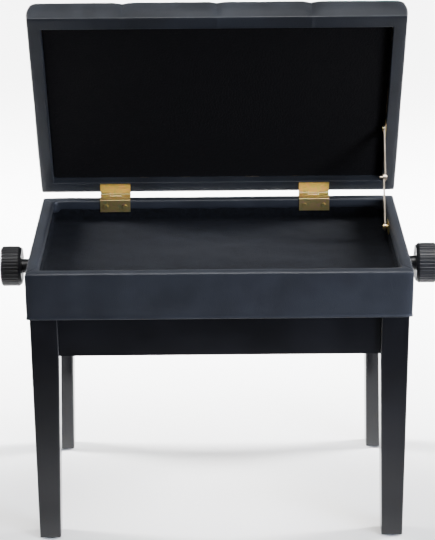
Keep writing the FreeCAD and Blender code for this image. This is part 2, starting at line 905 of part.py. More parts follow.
def stay_lid_bracket():
    low = lid_under + 0.5
    plate = stay_plate_at(stay_lid_pivot, recess_half_x, low, low + stay_plate_height)
    pin = stay_pin(stay_lid_pivot, recess_half_x, stay_outer_x - stay_thick)
    return only(plate.fuse(pin).removeSplitter().cut(stay_lid_screws()))


def leg_frame_nodes():
    nodes = {}
    names = ["leg_rear_right", "leg_rear_left", "leg_front_right", "leg_front_left"]
    nodes.update(dict(zip(names, four_corners(leg()))))
    nodes.update(aprons())
    nodes.update(battens())
    screws = []
    for screw in bracket_screws():
        screws += four_corners(screw)
    nodes["foot_glides"] = group(four_corners(glide()))
    nodes["corner_brackets"] = group(four_corners(corner_bracket()))
    nodes["leg_bolts"] = group(four_corners(leg_bolt()))
    nodes["leg_nuts"] = group(four_corners(leg_nut()))
    nodes["bracket_screws"] = group(screws)
    nodes["lower_rail_front"], nodes["lower_rail_rear"] = front_and_rear(lower_rail())
    nodes["lower_rail_screws"] = group(lower_rail_screws())
    nodes["lower_pivot_shaft"] = cross_shaft(fixed_pivot_x, lower_pivot_height, 2.0)
    return nodes


def scissor_nodes():
    nodes = {}
    turning = shaft_radius + running
    outer = scissor_arm(True, outer_arm_y, turning, rivet_radius, turning)
    inner = scissor_arm(False, inner_arm_y, shaft_radius + open_play, rivet_radius + running, shaft_radius)
    nodes["scissor_outer_front"], nodes["scissor_outer_rear"] = front_and_rear(outer)
    nodes["scissor_inner_front"], nodes["scissor_inner_rear"] = front_and_rear(inner)
    nodes["centre_pivot_rivets"] = group(front_and_rear(centre_rivet()))
    nodes["slide_shaft"] = cross_shaft(slide_low_x, lower_pivot_height, 1.0)
    nodes["slide_rollers"] = group(front_and_rear(roller()))
    nodes["nut_bar"] = screw_block(slide_low_x, 1.0, screw_radius + open_play)
    return nodes


def lift_nodes():
    return {
        "lift_screw": lift_screw(),
        "knob_right": knob(),
        "knob_left": mirror_x(knob()),
        "knob_bolts": group([knob_bolt(), mirror_x(knob_bolt())]),
        "thrust_collars": group([thrust_collar(-1), thrust_collar(1)]),
        "thrust_bar": screw_block(fixed_pivot_x, 2.0, screw_radius + running),
        "shaft_bushes": group([shaft_bush(), mirror_x(shaft_bush())]),
    }


def box_nodes():
    left, right = hinge_places()
    screws = hinge_box_screws(left) + hinge_box_screws(right) + stay_box_screws()
    nodes = box_walls(screws)
    nodes["box_floor"] = only(box_floor().cut(upper_rail_screws()))
    nodes["box_cover"] = box_cover(screws)
    nodes["box_lining"] = box_lining(screws)
    nodes["upper_rail_front"], nodes["upper_rail_rear"] = front_and_rear(upper_rail())
    nodes["upper_rail_screws"] = group(upper_rail_screws())
    nodes["hinge_box_leaves"] = group([hinge_box_leaf(x) for x in hinge_places()])
    nodes["hinge_pins"] = group([hinge_pin(x) for x in hinge_places()])
    nodes["stay_box_bracket"] = stay_box_bracket()
    nodes["box_hardware_screws"] = group(screws)
    return nodes


def lid_nodes():
    left, right = hinge_places()
    screws = hinge_lid_screws(left) + hinge_lid_screws(right) + stay_lid_screws()
    buttons = [tuft_button(place) for place in button_places()]
    nodes = lid_pieces(screws, buttons)
    nodes["tuft_buttons"] = group(buttons)
    nodes["hinge_lid_leaves"] = group([hinge_lid_leaf(x) for x in hinge_places()])
    nodes["stay_lid_bracket"] = stay_lid_bracket()
    nodes["lid_hardware_screws"] = group(screws)
    return {name: opened(shape) for name, shape in nodes.items()}


def all_nodes():
    nodes = {}
    nodes.update(leg_frame_nodes())
    nodes.update(scissor_nodes())
    nodes.update(lift_nodes())
    nodes.update(box_nodes())
    nodes.update(lid_nodes())
    nodes["stay_lower_arm"] = stay_lower_arm()
    nodes["stay_upper_arm"] = stay_upper_arm()
    return nodes


def bottom_centre(shapes):
    whole = FreeCAD.BoundBox()
    for shape in shapes:
        whole.add(shape.BoundBox)
    return Vector((whole.XMin + whole.XMax) / 2, (whole.YMin + whole.YMax) / 2, whole.ZMin)


os.makedirs("parts", exist_ok=True)
nodes = all_nodes()
origin = bottom_centre(nodes.values())
for name, shape in nodes.items():
    placed = shape.copy()
    placed.translate(origin * -1)
    placed.exportStep("parts/" + name + ".step")
print(len(nodes), "nodes, origin moved by", origin)
print("knob turns over the whole lift", (slide_low_x - slide_high_x) / screw_pitch)
print("stay's elbow when the lid is shut", stay_elbow(stay_lid_pivot))
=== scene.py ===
import bpy
import bmesh
import json
import math
from mathutils import Matrix, Vector, noise


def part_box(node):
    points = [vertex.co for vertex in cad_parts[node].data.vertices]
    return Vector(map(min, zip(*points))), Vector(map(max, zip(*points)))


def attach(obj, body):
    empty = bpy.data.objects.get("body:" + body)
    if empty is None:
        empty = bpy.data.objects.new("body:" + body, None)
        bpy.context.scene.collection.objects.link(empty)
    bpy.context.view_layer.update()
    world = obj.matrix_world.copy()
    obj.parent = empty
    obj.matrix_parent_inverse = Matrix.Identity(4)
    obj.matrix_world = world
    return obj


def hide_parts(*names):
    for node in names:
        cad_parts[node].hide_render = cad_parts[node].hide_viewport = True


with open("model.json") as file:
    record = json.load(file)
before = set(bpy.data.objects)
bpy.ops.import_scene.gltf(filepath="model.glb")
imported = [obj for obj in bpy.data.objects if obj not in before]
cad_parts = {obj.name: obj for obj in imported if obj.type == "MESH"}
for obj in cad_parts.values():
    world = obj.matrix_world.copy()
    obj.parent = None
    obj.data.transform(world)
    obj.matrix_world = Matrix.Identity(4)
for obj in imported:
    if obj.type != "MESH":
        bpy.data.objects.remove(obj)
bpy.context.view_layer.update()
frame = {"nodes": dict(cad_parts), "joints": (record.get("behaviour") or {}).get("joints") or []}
joints = {joint["name"]: joint for joint in frame["joints"]}
hinge = Vector(joints["lid_hinge"]["pos_m"])
openAngle = math.radians(-joints["lid_hinge"]["range_deg"][0])
millimetre = 0.001


# small tools

def toLinear(hexColour):
    channels = []
    for start in (1, 3, 5):
        value = int(hexColour[start:start + 2], 16) / 255
        channels.append(value / 12.92 if value <= 0.04045 else ((value + 0.055) / 1.055) ** 2.4)
    return (*channels, 1.0)


def addNode(tree, kind, settings=None, links=None):
    node = tree.nodes.new(kind)
    for name, value in (settings or {}).items():
        if isinstance(name, int) or name in node.inputs.keys():
            node.inputs[name].default_value = value
        else:
            setattr(node, name, value)
    for name, socket in (links or {}).items():
        tree.links.new(socket, node.inputs[name])
    return node


def startMaterial(name, colour, roughness, metallic=0.0, ior=1.5):
    material = bpy.data.materials.new(name)
    material.use_nodes = True
    tree = material.node_tree
    shader = tree.nodes["Principled BSDF"]
    shader.inputs["Base Color"].default_value = toLinear(colour)
    shader.inputs["Roughness"].default_value = roughness
    shader.inputs["Metallic"].default_value = metallic
    if not metallic:
        shader.inputs["IOR"].default_value = ior
    place = addNode(tree, "ShaderNodeTexCoord").outputs["Object"]
    return material, tree, shader, place


def blendColours(tree, factor, first, second):
    ramp = addNode(tree, "ShaderNodeValToRGB", links={"Fac": factor})
    ramp.color_ramp.elements[0].position = 0.3
    ramp.color_ramp.elements[1].position = 0.7
    ramp.color_ramp.elements[0].color = toLinear(first)
    ramp.color_ramp.elements[1].color = toLinear(second)
    return ramp.outputs["Color"]


def spread(tree, factor, low, high):
    settings = {"To Min": low, "To Max": high}
    return addNode(tree, "ShaderNodeMapRange", settings, {"Value": factor}).outputs["Result"]


def bumpFrom(tree, shader, height, depth, strength=1.0):
    bump = addNode(tree, "ShaderNodeBump", {"Distance": depth, "Strength": strength}, {"Height": height})
    tree.links.new(bump.outputs["Normal"], shader.inputs["Normal"])


def perMetre(size):
    return 1.0 / (size * millimetre)


# materials

def blackLacquer():
    # sprayed polyurethane lacquer over sanded hardwood: deep black, mirror-like, with a faint orange peel
    material, tree, shader, place = startMaterial("sprayedBlackLacquer", "#0b0b0d", 0.1, ior=1.47)
    peel = addNode(tree, "ShaderNodeTexNoise", {"Scale": perMetre(4.0), "Detail": 2.0}, {"Vector": place})
    haze = addNode(tree, "ShaderNodeTexNoise", {"Scale": perMetre(70.0), "Detail": 5.0}, {"Vector": place})
    tree.links.new(spread(tree, haze.outputs["Fac"], 0.07, 0.2), shader.inputs["Roughness"])
    tree.links.new(blendColours(tree, haze.outputs["Fac"], "#09090b", "#121215"), shader.inputs["Base Color"])
    bumpFrom(tree, shader, peel.outputs["Fac"], 0.00003)
    shader.inputs["Specular IOR Level"].default_value = 0.38
    return material


def leatherette(name, dark, light):
    # polyurethane skin embossed with a pebble grain on a knitted back: satin
    # its grain is drawn about twice as coarse as real, to show
    material, tree, shader, place = startMaterial(name, dark, 0.42, ior=1.47)
    cells = addNode(
        tree, "ShaderNodeTexVoronoi", {"feature": "DISTANCE_TO_EDGE", "Scale": perMetre(2.2)},
        {"Vector": place},
    )
    grain = addNode(tree, "ShaderNodeTexNoise", {"Scale": perMetre(1.1), "Detail": 3.0}, {"Vector": place})
    broad = addNode(tree, "ShaderNodeTexNoise", {"Scale": perMetre(55.0), "Detail": 4.0}, {"Vector": place})
    pebble = addNode(tree, "ShaderNodeMath", {"operation": "POWER", 1: 0.5}, {0: cells.outputs["Distance"]})
    height = addNode(
        tree, "ShaderNodeMath", {"operation": "ADD"}, {0: pebble.outputs["Value"], 1: grain.outputs["Fac"]}
    )
    tree.links.new(blendColours(tree, broad.outputs["Fac"], dark, light), shader.inputs["Base Color"])
    tree.links.new(spread(tree, broad.outputs["Fac"], 0.36, 0.5), shader.inputs["Roughness"])
    bumpFrom(tree, shader, height.outputs["Value"], 0.00022, 0.7)
    shader.inputs["Specular IOR Level"].default_value = 0.38
    shader.inputs["Sheen Weight"].default_value = 0.03
    shader.inputs["Sheen Roughness"].default_value = 0.4
    return material


def flock():
    # short nylon flock glued to card: almost no gloss, a soft blue-grey bloom where light grazes it
    material, tree, shader, place = startMaterial("blackNylonFlock", "#08080a", 0.95)
    pile = addNode(tree, "ShaderNodeTexNoise", {"Scale": perMetre(1.6), "Detail": 4.0}, {"Vector": place})
    brushed = addNode(
        tree, "ShaderNodeTexNoise", {"Scale": perMetre(7.0), "Detail": 6.0, "Distortion": 1.2},
        {"Vector": place},
    )
    colour = blendColours(tree, brushed.outputs["Fac"], "#030304", "#0c0e12")
    tree.links.new(colour, shader.inputs["Base Color"])
    bumpFrom(tree, shader, pile.outputs["Fac"], 0.0012)
    shader.inputs["Specular IOR Level"].default_value = 0.1
    shader.inputs["Sheen Weight"].default_value = 0.05
    shader.inputs["Sheen Roughness"].default_value = 0.35
    shader.inputs["Sheen Tint"].default_value = toLinear("#8f98b0")
    return material


def feltedSheet():
    # needle-punched polypropylene sheet: matted fibres, black with a trace of brown
    material, tree, shader, place = startMaterial("needlePunchedSheet", "#0c0b0a", 0.9, ior=1.49)
    fibres = addNode(
        tree, "ShaderNodeTexNoise", {"Scale": perMetre(2.0), "Detail": 6.0, "Distortion": 1.6},
        {"Vector": place},
    )
    dents = addNode(tree, "ShaderNodeTexVoronoi", {"Scale": perMetre(3.0)}, {"Vector": place})
    height = addNode(
        tree, "ShaderNodeMath", {"operation": "ADD"}, {0: fibres.outputs["Fac"], 1: dents.outputs["Distance"]}
    )
    colour = blendColours(tree, fibres.outputs["Fac"], "#040303", "#0b0908")
    tree.links.new(colour, shader.inputs["Base Color"])
    bumpFrom(tree, shader, height.outputs["Value"], 0.0005)
    shader.inputs["Specular IOR Level"].default_value = 0.08
    shader.inputs["Sheen Weight"].default_value = 0.03
    shader.inputs["Sheen Roughness"].default_value = 0.5
    return material


def yellowZinc():
    # pressed steel with yellow chromate over zinc: pale gold, drifting to rose and green
    material, tree, shader, place = startMaterial("yellowChromatedSteel", "#d8bd72", 0.26, metallic=1.0)
    drift = addNode(
        tree, "ShaderNodeTexNoise", {"Scale": perMetre(9.0), "Detail": 2.0, "Distortion": 1.0},
        {"Vector": place},
    )
    scratches = addNode(tree, "ShaderNodeTexNoise", {"Scale": perMetre(1.5), "Detail": 6.0}, {"Vector": place})
    ramp = addNode(tree, "ShaderNodeValToRGB", links={"Fac": drift.outputs["Fac"]})
    ramp.color_ramp.elements[0].position = 0.3
    ramp.color_ramp.elements[0].color = toLinear("#a9a876")
    ramp.color_ramp.elements[1].position = 0.72
    ramp.color_ramp.elements[1].color = toLinear("#c9a184")
    ramp.color_ramp.elements.new(0.5).color = toLinear("#c4b06e")
    tree.links.new(ramp.outputs["Color"], shader.inputs["Base Color"])
    tree.links.new(spread(tree, scratches.outputs["Fac"], 0.3, 0.5), shader.inputs["Roughness"])
    bumpFrom(tree, shader, scratches.outputs["Fac"], 0.00004)
    return material


def platedSteel(name, colour, worn, low=0.24, high=0.4):
    # rolled bar with a thin plating: fine lengthwise lines, slightly clouded
    material, tree, shader, place = startMaterial(name, colour, low, metallic=1.0)
    cloud = addNode(tree, "ShaderNodeTexNoise", {"Scale": perMetre(14.0), "Detail": 4.0}, {"Vector": place})
    stretch = addNode(tree, "ShaderNodeMapping", {"Scale": (60.0, 700.0, 700.0)}, {"Vector": place})
    lines = addNode(
        tree, "ShaderNodeTexNoise", {"Scale": 3.0, "Detail": 3.0}, {"Vector": stretch.outputs["Vector"]}
    )
    tree.links.new(blendColours(tree, cloud.outputs["Fac"], worn, colour), shader.inputs["Base Color"])
    tree.links.new(spread(tree, lines.outputs["Fac"], low, high), shader.inputs["Roughness"])
    bumpFrom(tree, shader, lines.outputs["Fac"], 0.00003)
    return material


def powderCoat():
    # baked powder paint on pressed steel: black with a fine texture
    material, tree, shader, place = startMaterial("blackPowderCoat", "#111112", 0.4)
    speck = addNode(tree, "ShaderNodeTexNoise", {"Scale": perMetre(1.4), "Detail": 3.0}, {"Vector": place})
    tree.links.new(spread(tree, speck.outputs["Fac"], 0.32, 0.5), shader.inputs["Roughness"])
    bumpFrom(tree, shader, speck.outputs["Fac"], 0.00012)
    return material


def mouldedPlastic(name, colour, light, roughness):
    # injection-moulded plastic with a spark-eroded texture
    material, tree, shader, place = startMaterial(name, colour, roughness, ior=1.53)
    spark = addNode(tree, "ShaderNodeTexNoise", {"Scale": perMetre(1.2), "Detail": 3.0}, {"Vector": place})
    rub = addNode(tree, "ShaderNodeTexNoise", {"Scale": perMetre(18.0), "Detail": 4.0}, {"Vector": place})
    tree.links.new(blendColours(tree, rub.outputs["Fac"], colour, light), shader.inputs["Base Color"])
    wear = spread(tree, rub.outputs["Fac"], roughness * 0.85, roughness * 1.2)
    tree.links.new(wear, shader.inputs["Roughness"])
    shader.inputs["Specular IOR Level"].default_value = 0.35
    bumpFrom(tree, shader, spark.outputs["Fac"], 0.00008)
    return material


def sawnWood(name, pale, dark, lengthways):
    # planed softwood or birch ply, unfinished: long grain streaks in two browns
    material, tree, shader, place = startMaterial(name, pale, 0.62, ior=1.45)
    scale = (8.0, 160.0, 160.0) if lengthways == "x" else (160.0, 8.0, 160.0)
    stretch = addNode(tree, "ShaderNodeMapping", {"Scale": scale}, {"Vector": place})
    streaks = addNode(
        tree, "ShaderNodeTexNoise", {"Scale": 1.0, "Detail": 6.0, "Distortion": 0.6},
        {"Vector": stretch.outputs["Vector"]},
    )
    tree.links.new(blendColours(tree, streaks.outputs["Fac"], dark, pale), shader.inputs["Base Color"])
    tree.links.new(spread(tree, streaks.outputs["Fac"], 0.5, 0.75), shader.inputs["Roughness"])
    bumpFrom(tree, shader, streaks.outputs["Fac"], 0.0002)
    return material


def openFoam():
    # cut polyurethane foam: small open cells, with painted shade in their hollows
    material, tree, shader, place = startMaterial("cutFoam", "#d8cfa4", 0.9)
    cells = addNode(tree, "ShaderNodeTexVoronoi", {"Scale": perMetre(1.8)}, {"Vector": place})
    # painted shade: the colour darkens where the cells sink, following the bump's hollows
    colour = blendColours(tree, cells.outputs["Distance"], "#b9ae80", "#e0d8b2")
    tree.links.new(colour, shader.inputs["Base Color"])
    bumpFrom(tree, shader, cells.outputs["Distance"], 0.0008)
    return material


print("materials")
lacquer = blackLacquer()
boxLeather = leatherette("embossedLeatheretteBox", "#17191e", "#1f2228")
seatLeather = leatherette("embossedLeatheretteSeat", "#131519", "#1e2126")
flocked = flock()
felted = feltedSheet()
goldSteel = yellowZinc()
nickelSteel = platedSteel("nickelPlatedBar", "#d8c9b4", "#b9a893")
zincSteel = platedSteel("brightZincSteel", "#c3c6ca", "#a3a7ac")
coated = powderCoat()
knobPlastic = mouldedPlastic("mouldedAbsKnob", "#0e0e10", "#17171a", 0.38)
nylon = mouldedPlastic("naturalNylon", "#cfccc0", "#dedbd0", 0.5)
glidePlastic = mouldedPlastic("hardPolythene", "#161616", "#202020", 0.55)
pineX = sawnWood("planedPineLong", "#cfae7c", "#a87f4c", "x")
pineY = sawnWood("planedPineAcross", "#cfae7c", "#a87f4c", "y")
birch = sawnWood("birchPly", "#cdb48a", "#b0926a", "x")
foam = openFoam()

nodeMaterials = {
    lacquer: ["leg_", "apron_"],
    goldSteel: [
        "hinge_box", "hinge_lid", "hinge_pins", "stay_box", "stay_lid", "box_hardware", "lid_hardware",
    ],
    nickelSteel: ["stay_lower", "stay_upper"],
    coated: ["scissor_", "lower_rail_front", "lower_rail_rear", "upper_rail_front", "upper_rail_rear"],
    zincSteel: [
        "leg_bolts", "leg_nuts", "corner_brackets", "bracket_screws", "lower_rail_screws", "upper_rail_screws",
        "lower_pivot", "slide_shaft", "centre_pivot", "nut_bar", "thrust_", "lift_screw", "knob_bolts",
    ],
    knobPlastic: ["knob_left", "knob_right"],
    nylon: ["shaft_bushes", "slide_rollers"],
    glidePlastic: ["foot_glides"],
    pineX: ["box_wall_front", "box_wall_rear", "lid_frame"],
    pineY: ["box_wall_left", "box_wall_right", "batten_"],
    birch: ["box_floor", "lid_board"],
    foam: ["seat_foam"],
    boxLeather: ["box_cover"],
    seatLeather: ["seat_cover", "tuft_buttons"],
    flocked: ["box_lining"],
    felted: ["lid_lining"],
}


def dressNodes():
    for name, node in frame["nodes"].items():
        for material, starts in nodeMaterials.items():
            if any(name.startswith(start) for start in starts):
                for part in node.material_slots:
                    part.link = "OBJECT"
                    part.material = material


dressNodes()


# mesh tools

def finishPiece(name, mesh, material, smooth=True):
    bmesh.ops.remove_doubles(mesh, verts=mesh.verts, dist=0.00002)
    bmesh.ops.recalc_face_normals(mesh, faces=mesh.faces)
    return addPiece(name, mesh, material, smooth)


def addPiece(name, mesh, material, smooth=True):
    data = bpy.data.meshes.new(name)
    mesh.to_mesh(data)
    mesh.free()
    for polygon in data.polygons:
        polygon.use_smooth = smooth
    data.materials.append(material)
    piece = bpy.data.objects.new(name, data)
    bpy.context.scene.collection.objects.link(piece)
    return piece


def boxBetween(mesh, low, high):
    low, high = Vector(low), Vector(high)
    shape = Matrix.Translation((low + high) / 2) @ Matrix.Diagonal((*(high - low), 1.0))
    bmesh.ops.create_cube(mesh, size=1.0, matrix=shape)


def cutAcross(mesh, axis, positions):
    normal = Vector((axis == 0, axis == 1, axis == 2))
    for position in positions:
        everything = mesh.verts[:] + mesh.edges[:] + mesh.faces[:]
        bmesh.ops.bisect_plane(mesh, geom=everything, dist=1e-7, plane_co=normal * position, plane_no=normal)


def spaced(low, high, step, fineAt=(), fine=(0.0, 0.0018, 0.0045)):
    # even cuts, with closer ones on both sides of each place in fineAt
    count = max(1, round((high - low) / step))
    places = [low + (high - low) * index / count for index in range(1, count)]
    clear = max(fine) + step * 0.35
    places = [place for place in places if all(abs(place - centre) > clear for centre in fineAt)]
    for centre in fineAt:
        for offset in fine:
            for sign in (-1, 1):
                place = centre + sign * offset
                if low + 1e-4 < place < high - 1e-4 and place not in places:
                    places.append(place)
    return sorted(places)


def ramp(value, low, high):
    part = min(1.0, max(0.0, (value - low) / (high - low)))
    return part * part * (3 - 2 * part)


def ripple(point, size, seed):
    return noise.noise(Vector(point) / size + Vector((seed, seed * 1.7, seed * 0.6)))


def addSubdivision(piece, levels=1):
    subdivide = piece.modifiers.new("softer", "SUBSURF")
    subdivide.levels = levels
    subdivide.render_levels = levels


def addWall(piece, thickness):
    solid = piece.modifiers.new("thickness", "SOLIDIFY")
    solid.thickness = thickness
    solid.offset = -1.0


# tufted seat, built closed and then opened about the hinge

seat = {
    "length": 0.564,
    "depth": 0.3368,
    "thickness": 0.0515,
    "frameWidth": 0.020,
    "recessDepth": 0.0132,
    "behindHinge": 0.0042,                  # from the pin to the seat's rear edge
    "slack": 0.0025,                        # the shape starts this much lower than it fills to
    "topRound": 0.0125,
    "lowRound": 0.0022,
    "creases": (-0.141, 0.0, 0.141),
    "creaseDepth": 0.0085,
    "creaseWidth": 0.011,
    "creaseAtEdge": 0.3,                    # the share of its depth that a crease keeps at the edge
    "tuftDepth": 0.0095,
    "tuftWidth": 0.030,
    "buttonRadius": 0.011,
    "buttonDepth": 0.0135,
    "crown": 0.0045,                        # the middle's height over the edges
    "crownReach": 0.09,
    "sideSwell": 0.0022,
    "lowSeam": 0.0009,                      # how far a seam is drawn in beside the lid's board
    "highSeam": 0.0022,                     # and how much more over it
    "wrinkle": 0.0009,
    "looseness": 0.0008,
    "underFold": 0.0006,                    # where a seam's end is folded under
    "underFoldWidth": 0.004,
    "heldBelow": 0.0145,                    # the cover is stapled down below this height
    "creaseHold": 0.96,
    "pressure": 4.0,
    "frames": 20,
    "mostMove": 0.010,
    "step": 0.006,
    "outerLoop": 0.0035,                    # in from each edge
    "innerLoops": (0.010, 0.016),
    "rimLoop": 0.0014,                      # on both sides of the frame's inner edge
    "sideLoops": (0.0015, 0.0035, 0.007, 0.012, 0.017, 0.022, 0.027, 0.032, 0.0365, 0.0405),
}
seatRear = hinge.y - seat["behindHinge"]
seatFront = seatRear - seat["depth"]
seatMiddle = (seatRear + seatFront) / 2
seatUnder = hinge.z
seatTop = seatUnder + seat["thickness"]
looseTop = seatTop - seat["slack"]
opening = Matrix.Translation(hinge) @ Matrix.Rotation(-openAngle, 4, "X") @ Matrix.Translation(-hinge)


def creaseAt(point, width):
    across = min(abs(point.x - crease) for crease in seat["creases"])
    along = abs(point.y - seatMiddle)
    return max(0.0, 1.0 - min(across, along) / width) ** 1.4


def fromButton(point):
    return min(math.hypot(point.x - crease, point.y - seatMiddle) for crease in seat["creases"])


def tuftAt(point):
    return max(0.0, 1.0 - fromButton(point) / seat["tuftWidth"]) ** 1.6


def roundedPoint(point):
    part = ramp(point.z, seatUnder + 0.008, seatTop - 0.012)
    radius = seat["lowRound"] + (seat["topRound"] - seat["lowRound"]) * part
    half = Vector((seat["length"] / 2 - radius, seat["depth"] / 2 - radius))
    core = Vector((
        max(-half.x, min(half.x, point.x)),
        max(seatMiddle - half.y, min(seatMiddle + half.y, point.y)),
        max(seatUnder + radius, min(looseTop - radius, point.z)),
    ))
    away = point - core
    return core + away.normalized() * radius if away.length > 1e-6 else point


def edgeCuts(low, high):
    insets = (seat["outerLoop"], seat["frameWidth"], *seat["innerLoops"])
    return [place for inset in insets for place in (low + inset, high - inset)]


def seatMesh():
    mesh = bmesh.new()
    half = seat["length"] / 2
    rim = seat["frameWidth"]
    boxBetween(mesh, (-half, seatFront, seatUnder), (half, seatRear, looseTop))
    beside = (-seat["rimLoop"], seat["rimLoop"])
    acrossX = spaced(-half + rim, half - rim, seat["step"], seat["creases"])
    acrossX += edgeCuts(-half, half)
    acrossX += [side * (half - rim + offset) for side in (-1, 1) for offset in beside]
    acrossY = spaced(seatFront + rim, seatRear - rim, seat["step"], (seatMiddle,))
    acrossY += edgeCuts(seatFront, seatRear)
    acrossY += [place + offset for place in (seatFront + rim, seatRear - rim) for offset in beside]
    cutAcross(mesh, 0, acrossX)
    cutAcross(mesh, 1, acrossY)
    sinkRecess(mesh)
    cutAcross(mesh, 2, [seatUnder + height for height in seat["sideLoops"]])
    return mesh


def sinkRecess(mesh):
    half = seat["length"] / 2 - seat["frameWidth"]
    low = seatFront + seat["frameWidth"]
    high = seatRear - seat["frameWidth"]
    inside = []
    for face in mesh.faces:
        middle = face.calc_center_median()
        if abs(middle.z - seatUnder) < 1e-5 and abs(middle.x) < half and low < middle.y < high:
            inside.append(face)
    moved = bmesh.ops.extrude_face_region(mesh, geom=inside)["geom"]
    bmesh.ops.delete(mesh, geom=inside, context="FACES")
    verts = [item for item in moved if isinstance(item, bmesh.types.BMVert)]
    bmesh.ops.translate(mesh, verts=verts, vec=(0, 0, seat["recessDepth"]))


def inRecess(point):
    reach = seat["frameWidth"] - 0.0001
    insideX = abs(point.x) < seat["length"] / 2 - reach
    insideY = seatFront + reach < point.y < seatRear - reach
    return insideX and insideY and point.z < seatUnder + seat["recessDepth"] + 0.0001


def topShift(start):
    # crowned fields between creases, with a flat for each button at the bottom of its tuft
    fromEdge = min(seat["length"] / 2 - abs(start.x), seat["depth"] / 2 - abs(start.y - seatMiddle))
    crown = seat["crown"] * ramp(fromEdge, 0.0, seat["crownReach"])
    inner = seat["creaseAtEdge"] + (1 - seat["creaseAtEdge"]) * ramp(fromEdge, 0.004, 0.05)
    crease = creaseAt(start, seat["creaseWidth"])
    pulled = seat["creaseDepth"] * crease * inner + seat["tuftDepth"] * tuftAt(start)
    flat = 1 - ramp(fromButton(start), seat["buttonRadius"], seat["buttonRadius"] + 0.004)
    return crown - pulled * (1 - flat) - seat["buttonDepth"] * flat


def sideShift(start):
    # sides swell between seams, more over the board than beside it
    inward = Vector((0.0, 0.0, 0.0))
    if abs(start.x) > seat["length"] / 2 - 1e-4:
        inward.x = math.copysign(1.0, -start.x)
    if abs(start.y - seatMiddle) > seat["depth"] / 2 - 1e-4:
        inward.y = math.copysign(1.0, seatMiddle - start.y)
    crease = creaseAt(start, seat["creaseWidth"])
    rise = (start.z - seatUnder) / (looseTop - seatUnder)
    swell = math.sin(math.pi * min(1.0, max(0.0, rise * 1.05 - 0.05)))
    swell *= ramp(start.z, seatUnder, seatUnder + 0.01)
    pull = ramp(start.z, seatUnder + 0.004, looseTop - 0.006)
    overBoard = ramp(start.z, seatUnder + 0.023, seatUnder + 0.034)
    seam = crease * pull * (seat["lowSeam"] + seat["highSeam"] * overBoard)
    return inward * (seam - seat["sideSwell"] * swell * (1 - crease))


def shapeSeat(mesh):
    for vert in mesh.verts:
        if inRecess(vert.co):
            continue
        start = vert.co.copy()
        point = roundedPoint(start)
        if start.z > looseTop - 1e-5:
            point.z += topShift(start)
        elif start.z >= seatUnder + 1e-5:
            point += sideShift(start)
        else:
            fromSeam = min(abs(start.x - crease) for crease in seat["creases"])
            fold = max(0.0, 1.0 - fromSeam / seat["underFoldWidth"])
            point.z -= seat["underFold"] * fold * ramp(abs(start.y - seatMiddle), 0.10, 0.16)
        vert.co = point


def heldAt(point):
    if point.z < seatUnder + seat["heldBelow"] or fromButton(point) < seat["buttonRadius"] + 0.002:
        return 1.0
    return seat["creaseHold"] if creaseAt(point, 0.0022) > 0 else 0.0


def inflateSeat(piece):
    scene = bpy.context.scene
    held = piece.vertex_groups.new(name="held")
    before = [vertex.co.copy() for vertex in piece.data.vertices]
    for vertex in piece.data.vertices:
        held.add([vertex.index], heldAt(vertex.co), "REPLACE")
    cloth = piece.modifiers.new("filling", "CLOTH")
    cloth.settings.quality = 4
    cloth.settings.mass = 0.35
    cloth.settings.tension_stiffness = 28
    cloth.settings.compression_stiffness = 28
    cloth.settings.shear_stiffness = 12
    cloth.settings.bending_stiffness = 1.2
    cloth.settings.vertex_group_mass = "held"
    cloth.settings.use_pressure = True
    cloth.settings.uniform_pressure_force = seat["pressure"]
    cloth.settings.effector_weights.gravity = 0.0
    cloth.point_cache.frame_start = 1
    cloth.point_cache.frame_end = seat["frames"]
    for number in range(1, seat["frames"] + 1):
        scene.frame_set(number)
    settled = piece.evaluated_get(bpy.context.evaluated_depsgraph_get()).to_mesh()
    after = [vertex.co.copy() for vertex in settled.vertices]
    piece.modifiers.clear()
    for vertex, start, end in zip(piece.data.vertices, before, after):
        move = end - start
        if move.length > seat["mostMove"]:
            move = move.normalized() * seat["mostMove"]
        vertex.co = start + move
    scene.frame_set(1)


def makeSeat():
    mesh = seatMesh()
    shapeSeat(mesh)
    piece = finishPiece("tuftedSeat", mesh, seatLeather)
    inflateSeat(piece)
    for vertex in piece.data.vertices:
        wrinkle = creaseAt(vertex.co, 0.035) * ramp(vertex.co.z, seatUnder + 0.012, seatUnder + 0.03)
        vertex.co.z += wrinkle * seat["wrinkle"] * ripple(vertex.co, 0.009, 3.0)
        loose = ramp(vertex.co.z, seatUnder + 0.004, seatUnder + 0.02)
        vertex.co.z += loose * seat["looseness"] * ripple(vertex.co, 0.04, 7.0)
    piece.data.transform(opening)
    addSubdivision(piece)
    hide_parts("seat_cover", "seat_foam")
    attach(piece, "lid")


# covered buttons that hold the tufts down

button = {
    "drop": 0.0105,     # from the seat's top to the button's rim
    "profile": (        # distance from the middle, and height over the rim
        (0.0, 0.0042), (0.004, 0.0040), (0.0075, 0.0030), (0.0098, 0.0014), (0.0106, 0.0), (0.0095, -0.0016),
    ),
    "turns": 32,
}


def makeButtons():
    mesh = bmesh.new()
    level = seatTop - button["drop"]
    for crease in seat["creases"]:
        places = [(crease + radius, seatMiddle, level + height) for radius, height in button["profile"]]
        verts = [mesh.verts.new(place) for place in places]
        edges = [mesh.edges.new(pair) for pair in zip(verts, verts[1:])]
        bmesh.ops.spin(
            mesh, geom=verts + edges, cent=(crease, seatMiddle, level), axis=(0, 0, 1), angle=2 * math.pi,
            steps=button["turns"], use_merge=True,
        )
    piece = finishPiece("coveredButtons", mesh, seatLeather)
    piece.data.transform(opening)
    addSubdivision(piece)
    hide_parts("tuft_buttons")
    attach(piece, "lid")


# leatherette round the storage box, with folded corners and a turned-down rim

